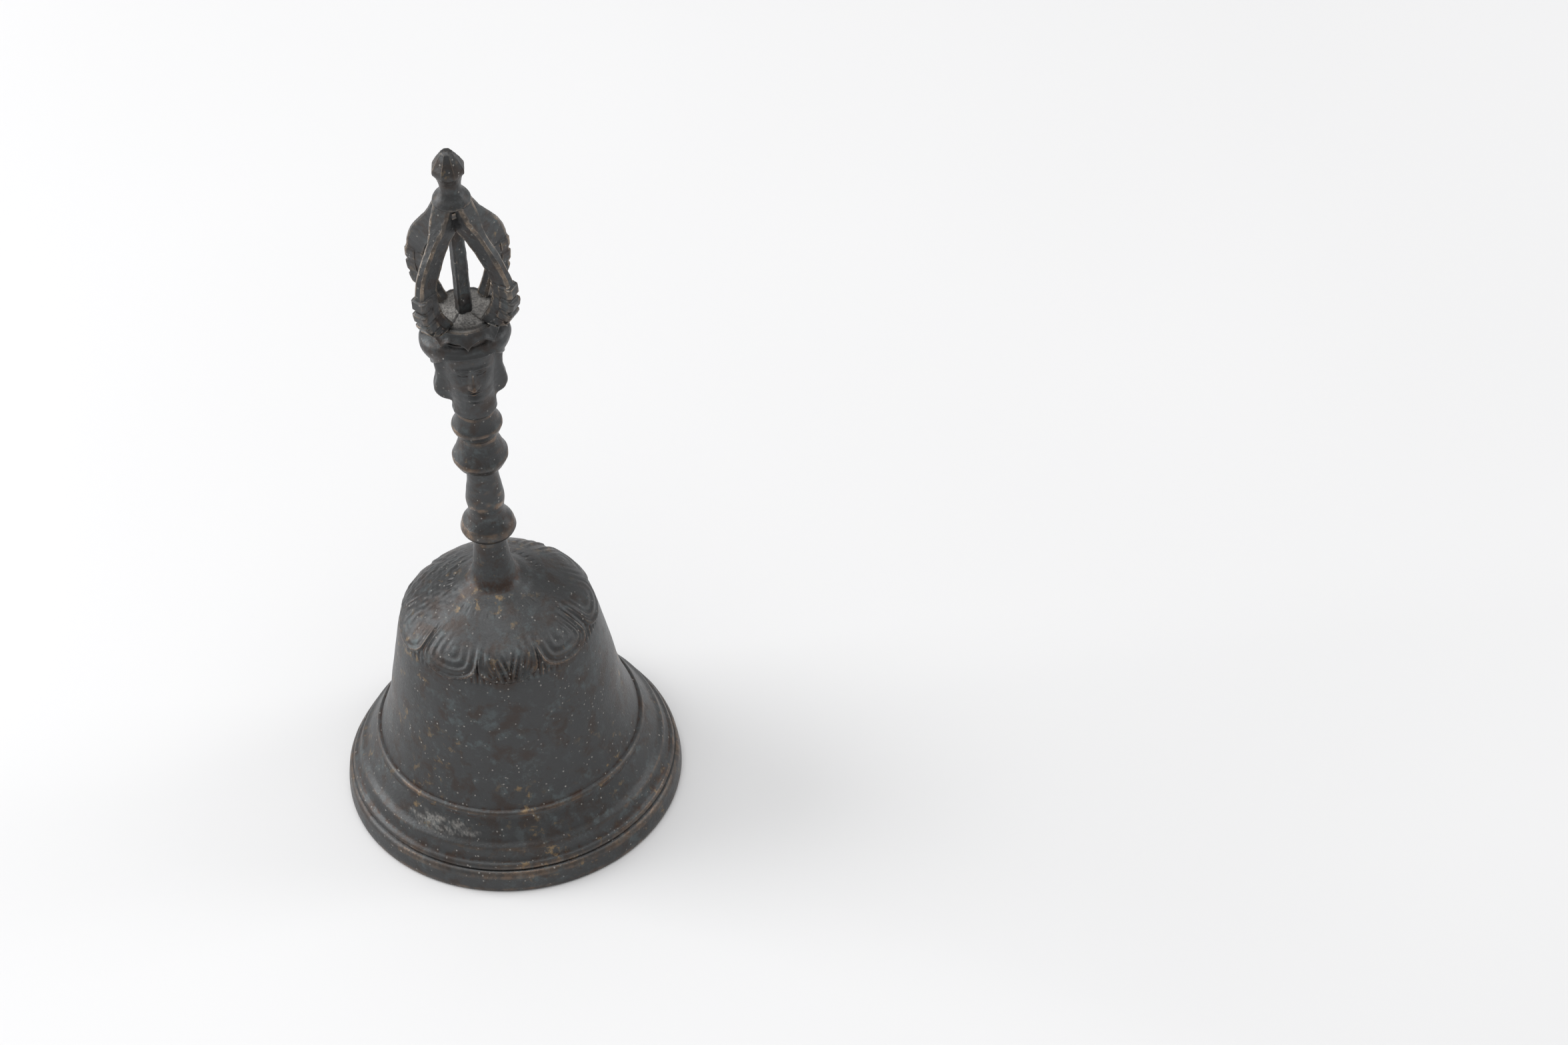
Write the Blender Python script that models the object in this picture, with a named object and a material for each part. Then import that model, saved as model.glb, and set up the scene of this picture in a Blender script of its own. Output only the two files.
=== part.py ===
"""Five-pronged vajra handbell, modelled as the castings and iron parts it is assembled from.

Frame: origin at the centre of the rim's underside, +Z up along the handle, -Y is the front.
Lengths are written in millimetres and scaled to metres by MM where a mesh is made.
"""
import math

import bmesh
import bpy
from mathutils import Matrix, Vector

MM = 0.001
GAP = 0.3

# Bell cup: outside radius at each height, from the rim up to the top of the neck.
RIM_RADIUS = 40.0
LIP = [(RIM_RADIUS, 0.0), (40.1, 1.4), (39.2, 5.8), (38.4, 6.2), (38.3, 7.4)]
FLARE = [(37.4, 9.0), (35.9, 10.8), (35.5, 11.8), (34.2, 13.8), (32.9, 16.0), (31.7, 17.8)]
WAIST = [(31.2, 18.9), (29.7, 22.4), (28.6, 26.0), (27.3, 31.0), (26.5, 36.5), (25.5, 42.0)]
SHOULDER = [(24.6, 47.0), (23.7, 52.0), (22.6, 54.9), (20.2, 57.8), (16.4, 60.8), (12.2, 63.4)]
NECK_FILLET = [(8.9, 65.4), (6.3, 67.0), (4.9, 69.0), (4.3, 71.6)]
NECK_TOP_RADIUS = 3.6
NECK_TOP_Z = 81.2
# Bell cup: inside radius at each height, from the crown seat down to the rim.
CROWN_SEAT_RADIUS = 8.0
CROWN_SEAT_Z = 62.0
INSIDE = [(12.6, 60.4), (17.4, 56.6), (20.2, 53.0), (21.4, 49.0), (23.0, 41.0), (24.3, 33.0)]
INSIDE_FLARE = [(26.2, 26.0), (28.6, 20.2), (31.6, 14.6), (34.4, 10.4), (36.2, 6.0), (36.8, 0.0)]
BELL_SIDES = 48

# Handle castings, which are threaded on the tie rod.
ROD_RADIUS = 1.5
ROD_SIDES = 16
ROD_HOLE_RADIUS = ROD_RADIUS + GAP
ROD_BOTTOM_Z = 58.4
ROD_TOP_Z = 150.0
SHAFT = [(4.6, 81.5), (5.4, 81.9), (6.5, 83.4), (5.9, 85.4), (4.5, 87.4), (4.2, 89.0), (4.5, 92.3),
         (4.1, 96.5), (3.6, 100.4), (3.7, 103.4)]
LOWER_BEAD = [(4.6, 103.7), (5.2, 104.3), (6.3, 106.9), (5.6, 109.4), (4.5, 111.8), (4.1, 113.3)]
UPPER_BEAD = [(4.3, 113.6), (4.8, 114.4), (5.5, 116.3), (5.0, 118.6), (4.3, 120.6), (4.2, 121.3)]
TURNED_SIDES = 28

# Mask head: depth from the axis to the face at each height, with the sides added to it.
HEAD_FACE = [(121.6, 4.7), (122.3, 5.1), (124.4, 5.2), (125.2, 5.4), (126.6, 5.7), (129.4, 6.0),
             (132.4, 6.1), (135.6, 6.2), (139.0, 6.2), (141.6, 6.0), (143.5, 5.7)]
EAR_SPREAD = [0.0, 0.0, 0.0, 1.6, 2.5, 2.7, 2.0, 0.9, 0.3, 0.2, 0.2]
EAR_HALF_ANGLE = math.radians(18.0)
HEAD_SIDES = 32
HANDLE_TURN = math.radians(10.0)

# Headdress: a cap over the head, high over the brow and low at the sides and the back.
CAP_TOP_Z = 146.9
CAP_TOP_RADIUS = 7.2
CAP_SEAT_Z = 143.8
CAP_BROW_Z = 143.2
CAP_SIDE_Z = 136.6
CAP_HEAD_Z = 135.0
CAP_SIDE_START = math.radians(35.0)
CAP_SIDE_RAMP = math.radians(55.0)
CAP_HALF_WIDTH = 10.0
CAP_HALF_DEPTH = 8.6
CAP_BROW_DEPTH = 7.7

# Vajra plate.
PLATE = [(7.2, 147.2), (8.7, 147.3), (8.9, 147.8), (8.2, 149.2), (7.7, 150.9), (7.5, 151.6),
         (6.9, 151.9)]
PLATE_MOUND = [(5.2, 151.2), (3.4, 151.6)]
PLATE_SIDES = 40

# Prongs: outline of one prong as radius and height, out round the bulge and back inside.
PRONG_OUTSIDE = [(10.2, 152.3), (12.3, 153.9), (13.9, 156.9), (14.5, 160.6), (14.3, 164.6),
                 (13.1, 168.6), (10.7, 173.0), (7.4, 178.2), (4.9, 183.7)]
PRONG_INSIDE = [(2.7, 183.7), (2.9, 180.4), (5.0, 175.4), (7.4, 170.6), (8.9, 166.4), (9.2, 162.4),
                (8.5, 158.4), (7.2, 155.2), (5.8, 153.2), (6.2, 152.2)]
PRONG_HALF_WIDTH = 2.1
PRONG_TIP_HALF_WIDTH = 1.6
PRONG_BEVEL = 0.5
PRONG_AZIMUTHS = {"front_left": -40.0, "front_right": 58.0, "back_right": 134.0,
                  "back_left": -128.0}
CENTRE_SIDE = 3.1
CENTRE_BEVEL = 0.45
CENTRE_TURN = math.radians(23.0)
CENTRE_BOTTOM_Z = 151.9
CENTRE_TOP_Z = 183.7

# Finial: waisted collar below a bud with eight facets.
FINIAL_COLLAR = [(2.9, 184.0), (3.6, 184.5), (4.0, 185.3), (3.7, 186.5), (2.9, 187.6), (2.4, 188.9)]
FINIAL_BUD = [(2.6, 190.8), (3.0, 192.8), (3.3, 194.6), (2.7, 196.8), (1.6, 198.4), (0.6, 199.2)]
FINIAL_TOP_Z = 199.3
FINIAL_SIDES = 16

# Clapper gear under the crown.
WASHER_RADIUS = 6.0
WASHER_SIDES = 24
WASHER_THICKNESS = 1.2
WASHER_TOP_Z = CROWN_SEAT_Z - GAP
NUT_ACROSS_FLATS = 8.0
NUT_TOP_Z = WASHER_TOP_Z - WASHER_THICKNESS - GAP
NUT_HEIGHT = 3.4
EYE_RADIUS = 3.4
EYE_WIRE = 0.9
LINK_WIRE = 0.8
LINK_RADIUS = 3.0
LINK_STRAIGHT = 2.0
LOOP_WIRE = 0.9
LOOP_RADIUS = 2.6
STEM_TOP_RADIUS = 1.2
STEM_FOOT_RADIUS = 1.5
STEM_SIDES = 12
BALL_RADIUS = 8.5
BALL_Z = 14.0
BALL_SIDES = 24
BALL_SEAT_SHARE = 0.55
BALL_STEPS = 12
SINK_SHARE = 0.6
BALL_SEAT_Z = BALL_Z + BALL_RADIUS * BALL_SEAT_SHARE
EYE_Z = NUT_TOP_Z - NUT_HEIGHT - EYE_RADIUS + SINK_SHARE * EYE_WIRE
LINK_TOP_Z = EYE_Z - EYE_RADIUS + EYE_WIRE + GAP + LINK_WIRE
LINK_BOTTOM_Z = LINK_TOP_Z - 2.0 * LINK_RADIUS - LINK_STRAIGHT
LOOP_TOP_Z = LINK_BOTTOM_Z + LINK_WIRE + GAP + LOOP_WIRE
LOOP_Z = LOOP_TOP_Z - LOOP_RADIUS

BRONZE = (0.075, 0.078, 0.072)
WORN_BRONZE = (0.16, 0.12, 0.08)
IRON = (0.06, 0.055, 0.05)


def clear_scene():
    """Remove every object that the file starts with."""
    for item in list(bpy.data.objects):
        bpy.data.objects.remove(item, do_unlink=True)


def metal(name, colour, roughness):
    """Make one metal material."""
    material = bpy.data.materials.new(name)
    material.use_nodes = True
    shader = material.node_tree.nodes["Principled BSDF"]
    shader.inputs["Base Color"].default_value = (*colour, 1.0)
    shader.inputs["Metallic"].default_value = 0.85
    shader.inputs["Roughness"].default_value = roughness
    return material


def finish(name, bm, colour, roughness=0.5, origin=(0.0, 0.0, 0.0), smooth_below=40.0):
    """Turn a millimetre bmesh into an object whose origin is at the given point."""
    bmesh.ops.recalc_face_normals(bm, faces=bm.faces)
    bmesh.ops.translate(bm, verts=bm.verts, vec=-Vector(origin))
    bmesh.ops.scale(bm, verts=bm.verts, vec=(MM, MM, MM))
    mesh = bpy.data.meshes.new(name)
    bm.to_mesh(mesh)
    bm.free()
    mesh.shade_smooth()
    mesh.set_sharp_from_angle(angle=math.radians(smooth_below))
    mesh.materials.append(metal(name, colour, roughness))
    item = bpy.data.objects.new(name, mesh)
    item.location = Vector(origin) * MM
    bpy.context.collection.objects.link(item)
    return item


def turned(outline, sides):
    """Spin a closed outline of (radius, height) pairs about Z; points at radius 0 become poles."""
    bm = bmesh.new()
    ring = [bm.verts.new((radius, 0.0, height)) for radius, height in outline]
    edges = [bm.edges.new((a, b)) for a, b in zip(ring, ring[1:])]
    if outline[0][0] > 0.0:
        edges.append(bm.edges.new((ring[-1], ring[0])))
    bmesh.ops.spin(bm, geom=ring + edges, cent=(0, 0, 0), axis=(0, 0, 1),
                   angle=math.tau, steps=sides, use_merge=True, use_duplicate=False)
    bmesh.ops.remove_doubles(bm, verts=bm.verts, dist=0.0001)
    return bm


def bored(outside, hole_radius):
    """Close a bottom-to-top outside profile with a straight hole for the tie rod."""
    low = outside[0][1]
    high = outside[-1][1]
    return outside + [(hole_radius, high), (hole_radius, low)]


def make_bell_body():
    """Cup, crown and neck in one casting, open below and bored for the rod."""
    outside = LIP + FLARE + WAIST + SHOULDER + NECK_FILLET + [(NECK_TOP_RADIUS, NECK_TOP_Z)]
    hole = [(ROD_HOLE_RADIUS, NECK_TOP_Z), (ROD_HOLE_RADIUS, CROWN_SEAT_Z)]
    inside = [(CROWN_SEAT_RADIUS, CROWN_SEAT_Z)] + INSIDE + INSIDE_FLARE
    return finish("bell_body", turned(outside + hole + inside, BELL_SIDES), BRONZE, 0.45)


def make_turned_castings():
    """Shaft and beads: each is a bored, turned piece."""
    for name, profile in (("handle_shaft", SHAFT), ("lower_bead", LOWER_BEAD),
                          ("upper_bead", UPPER_BEAD)):
        finish(name, turned(bored(profile, ROD_HOLE_RADIUS), TURNED_SIDES), BRONZE)


def make_vajra_plate():
    """Plate with its raised rim and a low mound around the centre prong."""
    hole = [(ROD_HOLE_RADIUS, PLATE_MOUND[-1][1]), (ROD_HOLE_RADIUS, PLATE[0][1])]
    finish("vajra_plate", turned(PLATE + PLATE_MOUND + hole, PLATE_SIDES), WORN_BRONZE, 0.7)


def bridge(bm, lower, upper):
    """Join two rings with the same count of vertices."""
    count = len(lower)
    for step in range(count):
        following = (step + 1) % count
        bm.faces.new((lower[step], lower[following], upper[following], upper[step]))


def lofted(section):
    """Sweep a closed outline that changes with the angle from the front of the handle."""
    bm = bmesh.new()
    columns = []
    for step in range(HEAD_SIDES):
        angle = math.tau * step / HEAD_SIDES - math.pi
        turn = angle + HANDLE_TURN
        columns.append([bm.verts.new((radius * math.sin(turn), -radius * math.cos(turn), height))
                        for radius, height in section(angle)])
    for near, far in zip(columns, columns[1:] + columns[:1]):
        bridge(bm, near, far)
    return bm


def ear_share(angle):
    """How much of the ear's spread stands out at an angle from the front."""
    return sum(math.exp(-((angle - side * math.pi / 2.0) / EAR_HALF_ANGLE) ** 2)
               for side in (-1.0, 1.0))


def head_section(angle):
    """Half section of the head, from its base to its crown and down the rod hole."""
    outside = [(depth + spread * ear_share(angle), height)
               for (height, depth), spread in zip(HEAD_FACE, EAR_SPREAD)]
    return outside + [(ROD_HOLE_RADIUS, outside[-1][1]), (ROD_HOLE_RADIUS, outside[0][1])]


def smoothstep(share):
    """Ease from 0 to 1."""
    share = min(1.0, max(0.0, share))
    return share * share * (3.0 - 2.0 * share)


def cap_section(angle):
    """Half section of the headdress: a flat cap whose skirt drops away from the brow."""
    aside = smoothstep((abs(angle) - CAP_SIDE_START) / CAP_SIDE_RAMP)
    low = CAP_BROW_Z + (CAP_SIDE_Z - CAP_BROW_Z) * aside
    depth = CAP_BROW_DEPTH if abs(angle) < math.pi / 2.0 else CAP_HALF_DEPTH
    wide = 1.0 / math.hypot(math.sin(angle) / CAP_HALF_WIDTH, math.cos(angle) / depth)
    inner = max(radius for radius, height in head_section(angle) if height > CAP_HEAD_Z) + GAP
    rise = CAP_TOP_Z - low
    hem = inner + 0.12 * (wide - inner)
    swell = [(hem, low), (wide - 0.9, low + 0.4 * rise), (wide, low + 0.68 * rise)]
    top = [(wide - 0.5, CAP_TOP_Z - 0.8), (CAP_TOP_RADIUS, CAP_TOP_Z), (ROD_HOLE_RADIUS, CAP_TOP_Z)]
    return [(inner, low)] + swell + top + [(ROD_HOLE_RADIUS, CAP_SEAT_Z), (inner, CAP_SEAT_Z)]


def make_mask_head():
    """Head with long ears, bored for the rod."""
    finish("mask_head", lofted(head_section), BRONZE)


def make_headdress():
    """Cap on the head, bored for the rod."""
    finish("headdress", lofted(cap_section), BRONZE)


def make_prong(place, azimuth):
    """One curved prong: a flat crescent, narrower towards its tip, with bevelled edges."""
    bm = bmesh.new()
    outline = PRONG_OUTSIDE + PRONG_INSIDE
    face = bm.faces.new([bm.verts.new((0.0, -radius, height)) for radius, height in outline])
    grown = bmesh.ops.extrude_face_region(bm, geom=[face])
    sides = [item for item in grown["geom"] if isinstance(item, bmesh.types.BMVert)]
    low = PRONG_OUTSIDE[0][1]
    high = PRONG_OUTSIDE[-1][1]
    for vert in bm.verts:
        share = (vert.co.z - low) / (high - low)
        half = PRONG_HALF_WIDTH + (PRONG_TIP_HALF_WIDTH - PRONG_HALF_WIDTH) * share
        vert.co.x = half if vert in sides else -half
    rims = [edge for edge in bm.edges if abs(edge.verts[0].co.x - edge.verts[1].co.x) < 1.0]
    bmesh.ops.bevel(bm, geom=rims, offset=PRONG_BEVEL, segments=1, affect="EDGES")
    turn = Matrix.Rotation(math.radians(azimuth), 3, "Z")
    bmesh.ops.rotate(bm, verts=bm.verts, cent=(0, 0, 0), matrix=turn)
    finish("vajra_prong_" + place, bm, WORN_BRONZE, 0.4)


def make_centre_prong():
    """Square post that stands on the plate in the middle of the cage."""
    bm = bmesh.new()
    height = CENTRE_TOP_Z - CENTRE_BOTTOM_Z
    middle = (CENTRE_TOP_Z + CENTRE_BOTTOM_Z) / 2.0
    bmesh.ops.create_cube(bm, size=1.0)
    bmesh.ops.scale(bm, verts=bm.verts, vec=(CENTRE_SIDE, CENTRE_SIDE, height))
    upright = [edge for edge in bm.edges if abs(edge.verts[0].co.z - edge.verts[1].co.z) > 1.0]
    bmesh.ops.bevel(bm, geom=upright, offset=CENTRE_BEVEL, segments=1, affect="EDGES")
    bmesh.ops.rotate(bm, verts=bm.verts, cent=(0, 0, 0),
                     matrix=Matrix.Rotation(CENTRE_TURN, 3, "Z"))
    bmesh.ops.translate(bm, verts=bm.verts, vec=(0, 0, middle))
    finish("centre_prong", bm, BRONZE)


def make_finial():
    """Waisted collar and bud."""
    outline = [(0.0, FINIAL_COLLAR[0][1])] + FINIAL_COLLAR + FINIAL_BUD + [(0.0, FINIAL_TOP_Z)]
    finish("finial", turned(outline, FINIAL_SIDES), WORN_BRONZE, 0.35)


def make_tie_rod():
    """Rod that clamps the handle castings on the bell."""
    outline = [(0.0, ROD_BOTTOM_Z), (ROD_RADIUS, ROD_BOTTOM_Z), (ROD_RADIUS, ROD_TOP_Z),
               (0.0, ROD_TOP_Z)]
    finish("tie_rod", turned(outline, ROD_SIDES), IRON)


def make_crown_washer():
    """Washer between the crown and the nut."""
    low = WASHER_TOP_Z - WASHER_THICKNESS
    outline = [(WASHER_RADIUS, low), (WASHER_RADIUS, WASHER_TOP_Z),
               (ROD_HOLE_RADIUS, WASHER_TOP_Z), (ROD_HOLE_RADIUS, low)]
    finish("crown_washer", turned(outline, WASHER_SIDES), IRON)


def wire_ring(bm, path, across, wire, sides=10):
    """Sweep a round wire along a closed flat path; across is the normal of the path's plane."""
    rings = []
    count = len(path)
    for step in range(count):
        ahead = path[(step + 1) % count] - path[step - 1]
        outward = ahead.normalized().cross(across)
        ring = []
        for part in range(sides):
            turn = math.tau * part / sides
            offset = outward * math.cos(turn) + across * math.sin(turn)
            ring.append(bm.verts.new(path[step] + offset * wire))
        rings.append(ring)
    for lower, upper in zip(rings, rings[1:] + rings[:1]):
        bridge(bm, lower, upper)


def oblong(centre_z, radius, straight, along, steps=20):
    """Closed path of two half circles joined by straight sides, upright in the given plane."""
    points = []
    for step in range(steps):
        turn = math.tau * (step + 0.5) / steps
        lift = straight / 2.0 if math.sin(turn) > 0.0 else -straight / 2.0
        flat = along * (radius * math.cos(turn))
        points.append(flat + Vector((0.0, 0.0, centre_z + lift + radius * math.sin(turn))))
    return points


def join_solids(name, first, others, origin=(0.0, 0.0, 0.0)):
    """Unite solids into one closed body and remove the helpers."""
    for other in others:
        union = first.modifiers.new("union", "BOOLEAN")
        union.operation = "UNION"
        union.solver = "EXACT"
        union.object = other
    bpy.context.view_layer.update()
    graph = bpy.context.evaluated_depsgraph_get()
    bm = bmesh.new()
    bm.from_mesh(bpy.data.meshes.new_from_object(first.evaluated_get(graph)))
    for item in [first] + others:
        bpy.data.objects.remove(item, do_unlink=True)
    bmesh.ops.scale(bm, verts=bm.verts, vec=(1.0 / MM, 1.0 / MM, 1.0 / MM))
    return finish(name, bm, IRON, 0.6, origin)


def make_eye_nut():
    """Hexagon nut on the rod's foot with the clapper's eye below it."""
    low = NUT_TOP_Z - NUT_HEIGHT
    corner = NUT_ACROSS_FLATS / 2.0 / math.cos(math.pi / 6.0)
    hole_end = ROD_BOTTOM_Z - GAP
    outline = [(0.0, low), (corner, low), (corner, NUT_TOP_Z), (ROD_HOLE_RADIUS, NUT_TOP_Z),
               (ROD_HOLE_RADIUS, hole_end), (0.0, hole_end)]
    nut = finish("nut_blank", turned(outline, 6), IRON)
    bm = bmesh.new()
    wire_ring(bm, oblong(EYE_Z, EYE_RADIUS, 0.0, Vector((1.0, 0.0, 0.0))),
              Vector((0.0, 1.0, 0.0)), EYE_WIRE)
    eye = finish("eye_blank", bm, IRON)
    join_solids("eye_nut", nut, [eye])


def make_hanger_link():
    """Oblong link that hangs in the eye; its origin is on the vertical axis of the eye."""
    bm = bmesh.new()
    middle = (LINK_TOP_Z + LINK_BOTTOM_Z) / 2.0
    wire_ring(bm, oblong(middle, LINK_RADIUS, LINK_STRAIGHT, Vector((0.0, 1.0, 0.0))),
              Vector((1.0, 0.0, 0.0)), LINK_WIRE)
    finish("hanger_link", bm, IRON, 0.6, (0.0, 0.0, EYE_Z))


def make_clapper_rod():
    """Stem with its loop at the top; the origin is on the swing axis."""
    bm = bmesh.new()
    wire_ring(bm, oblong(LOOP_Z, LOOP_RADIUS, 0.0, Vector((1.0, 0.0, 0.0))),
              Vector((0.0, 1.0, 0.0)), LOOP_WIRE)
    loop = finish("loop_blank", bm, IRON)
    top = LOOP_Z - LOOP_RADIUS + SINK_SHARE * LOOP_WIRE
    foot = BALL_SEAT_Z + GAP
    outline = [(0.0, foot), (STEM_FOOT_RADIUS, foot), (STEM_TOP_RADIUS, top), (0.0, top)]
    stem = finish("stem_blank", turned(outline, STEM_SIDES), IRON)
    join_solids("clapper_rod", stem, [loop], (0.0, 0.0, LINK_BOTTOM_Z))


def make_clapper_ball():
    """Striking ball with a socket for the stem."""
    socket = STEM_FOOT_RADIUS + GAP
    first = -math.pi / 2.0
    last = math.acos(socket / BALL_RADIUS)
    outline = [(0.0, BALL_Z - BALL_RADIUS)]
    for step in range(1, BALL_STEPS + 1):
        tilt = first + (last - first) * step / BALL_STEPS
        outline.append((BALL_RADIUS * math.cos(tilt), BALL_Z + BALL_RADIUS * math.sin(tilt)))
    outline += [(socket, BALL_SEAT_Z), (0.0, BALL_SEAT_Z)]
    finish("clapper_ball", turned(outline, BALL_SIDES), IRON, 0.5, (0.0, 0.0, LINK_BOTTOM_Z))


def main():
    """Build every piece of the bell."""
    clear_scene()
    make_bell_body()
    make_turned_castings()
    make_mask_head()
    make_headdress()
    make_vajra_plate()
    for place, azimuth in PRONG_AZIMUTHS.items():
        make_prong(place, azimuth)
    make_centre_prong()
    make_finial()
    make_tie_rod()
    make_crown_washer()
    make_eye_nut()
    make_hanger_link()
    make_clapper_rod()
    make_clapper_ball()


main()
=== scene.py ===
"""Dressed model of a five-pronged vajra handbell, built round its CAD frame.

Every visible piece is modelled here in its place: the lotus-crowned cup, the beaded handle with
its mask head and cap, the open vajra cage with its ribbed prongs, the finial, and the iron
clapper gear under the crown. Lengths are written in millimetres and scaled by MM.
"""
from __future__ import annotations

import logging
import math
from collections.abc import Callable, Sequence
from dataclasses import dataclass, field
from enum import Enum

import bpy
import numpy as np
from mathutils import Matrix, Vector

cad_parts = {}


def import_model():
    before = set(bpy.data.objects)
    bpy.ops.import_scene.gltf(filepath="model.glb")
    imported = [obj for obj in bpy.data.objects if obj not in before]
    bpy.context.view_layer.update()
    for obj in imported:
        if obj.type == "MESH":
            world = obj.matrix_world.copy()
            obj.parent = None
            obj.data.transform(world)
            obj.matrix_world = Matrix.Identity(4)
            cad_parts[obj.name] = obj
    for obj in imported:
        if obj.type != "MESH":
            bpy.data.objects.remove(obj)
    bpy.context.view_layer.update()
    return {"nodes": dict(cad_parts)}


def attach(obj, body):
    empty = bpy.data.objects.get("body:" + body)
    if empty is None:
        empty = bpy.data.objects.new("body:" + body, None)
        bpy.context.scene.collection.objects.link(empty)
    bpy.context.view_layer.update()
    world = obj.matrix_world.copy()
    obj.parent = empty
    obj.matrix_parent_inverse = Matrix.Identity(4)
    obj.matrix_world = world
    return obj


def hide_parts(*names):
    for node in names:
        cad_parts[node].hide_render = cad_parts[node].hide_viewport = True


MM = 0.001
MERGE = 1.0e-6
LOG = logging.getLogger("handbell")

Point = tuple[float, float]
Colour = tuple[float, float, float]
Table = tuple[Point, ...]
Sections = tuple[Table, ...]
Array = np.ndarray
Piece = bpy.types.Object
Socket = bpy.types.NodeSocket


class Body(Enum):
    """The moving bodies of the bell."""

    BELL = "bell"
    HANGER = "hanger"
    CLAPPER = "clapper"


class Slot(Enum):
    """The metals that the pieces are cast or forged from."""

    BELL = "bell_bronze"
    HANDLE = "handle_bronze"
    VAJRA = "vajra_bronze"
    IRON = "aged_iron"


class Turned(Enum):
    """How a traced outline is closed before it is spun."""

    RING = "ring"
    POLES = "poles"


# --- shaping helpers


def take(*pieces: Piece) -> None:
    """Select just these pieces and make the first of them active."""
    bpy.ops.object.select_all(action="DESELECT")
    for piece in pieces:
        piece.select_set(True)
    if pieces:
        bpy.context.view_layer.objects.active = pieces[0]


def blend(t: Array, width: Array, start: Array, end: Array, leave: Array, arrive: Array) -> Array:
    """Cubic curve from start to end.

    Args:
        t: 0 at the start and 1 at the end.
        width: Distance from the start to the end.
        start, end: Values at both ends.
        leave, arrive: Slopes at both ends.

    Returns:
        The values at t.
    """
    return ((2 * t**3 - 3 * t**2 + 1) * start + (3 * t**2 - 2 * t**3) * end
            + (t**3 - 2 * t**2 + t) * width * leave
            + (t**3 - t**2) * width * arrive)


def flowing(sections: Sequence[Sequence[Point]], step: float) -> list[Point]:
    """Draw one outline from smooth sections that meet in sharp corners.

    Args:
        sections: Runs of (radius, height) points; each run is a smooth curve and starts where
            the one before it ends.
        step: Largest distance between two points of the result, in millimetres.

    Returns:
        The points of the whole outline.
    """
    outline: list[Point] = []
    for section in sections:
        knots = np.array(section, float)
        gaps = np.linalg.norm(np.diff(knots, axis=0), axis=1)
        along = np.concatenate(([0.0], np.cumsum(gaps)))
        slopes = np.gradient(knots, along, axis=0)
        for index, gap in enumerate(gaps):
            count = max(1, math.ceil(gap / step))
            t = (np.arange(count) / count)[:, None]
            curve = blend(t, gap, knots[index], knots[index + 1], slopes[index],
                          slopes[index + 1])
            outline.extend((float(x), float(z)) for x, z in curve)
    outline.append(tuple(map(float, sections[-1][-1])))
    return outline


def trace(name: str, outline: Sequence[Point]) -> Piece:
    """Start a piece as one vertex and extrude it along an outline in the XZ plane.

    Args:
        name: The piece's name.
        outline: (radius, height) points in millimetres.

    Returns:
        The piece, left in edit mode with everything selected.
    """
    take()
    bpy.ops.mesh.primitive_plane_add(size=MM)
    piece = bpy.context.object
    piece.name = name
    bpy.ops.object.mode_set(mode="EDIT")
    bpy.ops.mesh.select_all(action="SELECT")
    bpy.ops.mesh.merge(type="CENTER")
    bpy.ops.transform.translate(value=(outline[0][0] * MM, 0.0, outline[0][1] * MM))
    for (x, z), (next_x, next_z) in zip(outline, outline[1:]):
        move = ((next_x - x) * MM, 0.0, (next_z - z) * MM)
        bpy.ops.mesh.extrude_region_move(TRANSFORM_OT_translate={"value": move})
    bpy.ops.mesh.select_all(action="SELECT")
    return piece


def close_up() -> None:
    """Merge the active piece's doubles, turn its faces outwards and leave edit mode."""
    bpy.ops.object.mode_set(mode="EDIT")
    bpy.ops.mesh.select_all(action="SELECT")
    bpy.ops.mesh.remove_doubles(threshold=MERGE)
    bpy.ops.mesh.normals_make_consistent(inside=False)
    bpy.ops.object.mode_set(mode="OBJECT")


def turn(name: str, outline: Sequence[Point], steps: int,
         ends: Turned = Turned.RING) -> Piece:
    """Turn a closed solid from an outline, as on a lathe whose axis is Z.

    Args:
        name: The piece's name.
        outline: (radius, height) points in millimetres.
        steps: Number of divisions round the axis.
        ends: RING joins the outline's last point to its first; POLES leaves both on the axis.

    Returns:
        The turned piece.
    """
    closed = list(outline)
    if ends is Turned.RING:
        closed.append(outline[0])
    piece = trace(name, closed)
    bpy.ops.mesh.spin(steps=steps, angle=math.tau, center=(0.0, 0.0, 0.0), axis=(0.0, 0.0, 1.0))
    close_up()
    return piece


def points_of(piece: Piece) -> Array:
    """Read a mesh's vertices.

    Args:
        piece: A mesh object at the origin.

    Returns:
        One row (x, y, z) for each vertex, in millimetres.
    """
    flat = np.empty(len(piece.data.vertices) * 3)
    piece.data.vertices.foreach_get("co", flat)
    return flat.reshape(-1, 3) / MM


def move_points(piece: Piece, points: Array) -> None:
    """Put a mesh's vertices at new places, in millimetres."""
    piece.data.vertices.foreach_set("co", (points * MM).ravel())
    piece.data.update()


def normals_of(piece: Piece) -> Array:
    """Read the unit normal at each vertex."""
    flat = np.empty(len(piece.data.vertices) * 3)
    piece.data.vertex_normals.foreach_get("vector", flat)
    return flat.reshape(-1, 3)


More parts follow.
